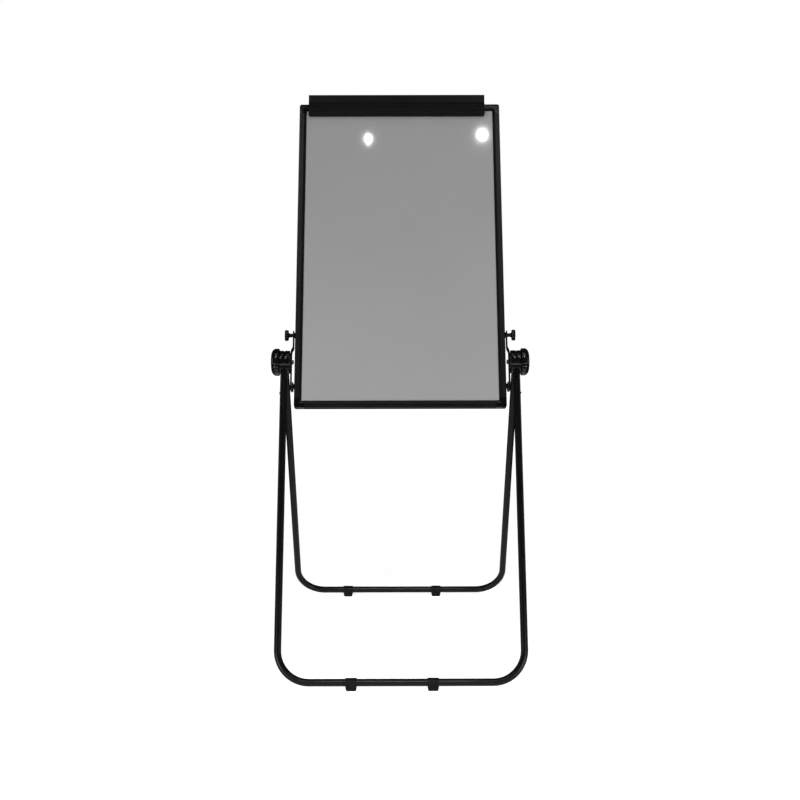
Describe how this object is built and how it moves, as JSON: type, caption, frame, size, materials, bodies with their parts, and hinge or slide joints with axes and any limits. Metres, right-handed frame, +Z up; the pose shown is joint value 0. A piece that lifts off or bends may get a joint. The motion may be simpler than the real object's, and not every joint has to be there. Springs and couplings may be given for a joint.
{
  "type": "flipchart easel",
  "caption": "Folding flipchart easel: framed whiteboard with a sprung paper clip, tilting and sliding on side brackets between two U-shaped tube legs.",
  "frame": {"origin": "on the floor, under the middle of the hub axis", "axes": "+Z up, -Y towards the reader in front of the board, +X to the reader's right"},
  "size_m": [0.732, 0.7994, 1.587],
  "materials": {
    "black_tube": "satin black powder coat on steel",
    "black_anodised": "satin black anodised extrusion",
    "black_plastic": "satin black moulded plastic",
    "black_rubber": "matte black rubber",
    "whiteboard": "glossy white enamel on thin steel sheet",
    "core_board": "light paper honeycomb core",
    "zinc_steel": "zinc plated steel",
    "brass": "turned brass",
    "spring_steel": "blued spring steel",
    "fibre": "vulcanised fibre"
  },
  "bodies": {
    "front_leg": {"front_leg_tube": "black_tube", "front_leg_hub_left": "black_plastic", "front_leg_hub_right": "black_plastic", "front_leg_screw_left": "zinc_steel", "front_leg_screw_right": "zinc_steel", "front_leg_foot_left": "black_rubber", "front_leg_foot_right": "black_rubber", "friction_washer_left": "fibre", "friction_washer_right": "fibre"},
    "rear_leg": {"rear_leg_tube": "black_tube", "rear_leg_hub_left": "black_plastic", "rear_leg_hub_right": "black_plastic", "rear_leg_screw_left": "zinc_steel", "rear_leg_screw_right": "zinc_steel", "rear_leg_foot_left": "black_rubber", "rear_leg_foot_right": "black_rubber"},
    "carriage": {"side_bracket_left": "black_tube", "side_bracket_right": "black_tube", "upper_glide_left": "black_plastic", "upper_glide_right": "black_plastic", "lower_glide_left": "black_plastic", "lower_glide_right": "black_plastic", "glide_screw_left": "zinc_steel", "glide_screw_right": "zinc_steel", "lock_stud_left": "zinc_steel", "lock_stud_right": "zinc_steel", "pivot_stud_left": "zinc_steel", "pivot_stud_right": "zinc_steel", "thrust_washer_left": "zinc_steel", "thrust_washer_right": "zinc_steel"},
    "board": {"side_rail_left": "black_anodised", "side_rail_right": "black_anodised", "top_rail": "black_anodised", "bottom_rail": "black_anodised", "top_corner_left": "black_plastic", "top_corner_right": "black_plastic", "bottom_corner_left": "black_plastic", "bottom_corner_right": "black_plastic", "board_core": "core_board", "front_sheet": "whiteboard", "rear_sheet": "whiteboard", "clip_base": "black_anodised", "clip_screw_left": "zinc_steel", "clip_screw_right": "zinc_steel", "clip_nut_left": "zinc_steel", "clip_nut_right": "zinc_steel", "clip_spring_left": "spring_steel", "clip_spring_right": "spring_steel"},
    "jaw": {"clip_jaw": "black_anodised", "clip_grip_strip": "black_rubber"},
    "clamp_left": {"clamp_knob_left": "black_plastic", "knob_insert_left": "brass", "knob_cap_left": "black_plastic"},
    "clamp_right": {"clamp_knob_right": "black_plastic", "knob_insert_right": "brass", "knob_cap_right": "black_plastic"},
    "lock_left": {"lock_knob_left": "black_plastic"},
    "lock_right": {"lock_knob_right": "black_plastic"}
  },
  "joints": [
    {"name": "leg_fold", "type": "hinge", "parent": "front_leg", "child": "rear_leg", "pos_m": [0, 0, 0.82305], "axis": [1, 0, 0], "range_deg": [-50, 0]},
    {"name": "board_tilt", "type": "hinge", "parent": "front_leg", "child": "carriage", "pos_m": [0, 0, 0.82305], "axis": [1, 0, 0], "range_deg": [-96, 146]},
    {"name": "board_slide", "type": "slide", "parent": "carriage", "child": "board", "axis": [0, 0.4226, 0.9063], "range_m": [-0.6, 0.008]},
    {"name": "clip_lever", "type": "hinge", "parent": "board", "child": "jaw", "pos_m": [-0.0086, 0.32116, 1.55556], "axis": [-1, 0, 0], "range_deg": [0, 30], "stiffness_Nm_per_rad": 1.2, "springref_deg": -20.05, "deforming": ["clip_spring_left", "clip_spring_right"]},
    {"name": "clamp_turn_left", "type": "hinge", "parent": "carriage", "child": "clamp_left", "pos_m": [-0.3547, 0, 0.82305], "axis": [-1, 0, 0], "range_deg": [0, 270]},
    {"name": "clamp_turn_right", "type": "hinge", "parent": "carriage", "child": "clamp_right", "pos_m": [0.3547, 0, 0.82305], "axis": [1, 0, 0], "range_deg": [0, 270]},
    {"name": "lock_turn_left", "type": "hinge", "parent": "carriage", "child": "lock_left", "pos_m": [-0.3242, 0.03381, 0.89556], "axis": [-1, 0, 0], "range_deg": [0, 270]},
    {"name": "lock_turn_right", "type": "hinge", "parent": "carriage", "child": "lock_right", "pos_m": [0.3242, 0.03381, 0.89556], "axis": [1, 0, 0], "range_deg": [0, 270]}
  ]
}
